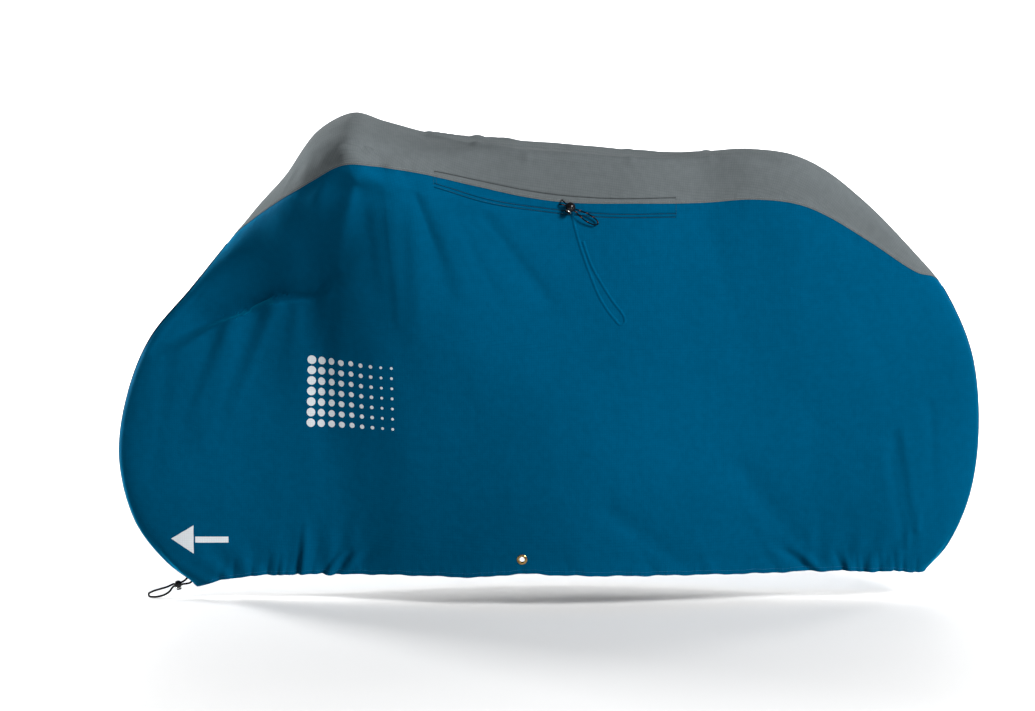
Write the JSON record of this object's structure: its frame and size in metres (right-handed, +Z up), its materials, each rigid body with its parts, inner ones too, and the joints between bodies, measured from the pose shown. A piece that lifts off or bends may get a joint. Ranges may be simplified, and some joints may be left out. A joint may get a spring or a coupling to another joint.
{
  "type": "bicycle cover",
  "caption": "Fitted hanging cover for a bicycle: blue side panels under a grey top panel, a gathered hem with brass lock eyelets, draw cords and cord locks.",
  "frame": {"origin": "underside of the top panel where it rests on the top of the bicycle's saddle, on the centre plane", "axes": "+X along the bicycle towards its rear wheel, +Y across it to its right-hand side, +Z up"},
  "size_m": [2.109, 0.5966, 1.1897],
  "materials": {
    "blue_cloth": "coated ripstop weave, slight sheen",
    "grey_cloth": "coated ripstop weave, slight sheen",
    "brass": "polished, slightly dull",
    "black_plastic": "gloss moulded",
    "black_cord": "braided elastic cord"
  },
  "bodies": {
    "root": {"top_panel": "grey_cloth", "side_panel_near": "blue_cloth", "side_panel_far": "blue_cloth", "hem_strip_near": "blue_cloth", "hem_strip_far": "blue_cloth", "eyelet_near": "brass", "eyelet_far": "brass", "pocket_cord": "black_cord", "pocket_cord_lock": "black_plastic", "hem_cord": "black_cord", "hem_cord_lock": "black_plastic"}
  },
  "joints": []
}
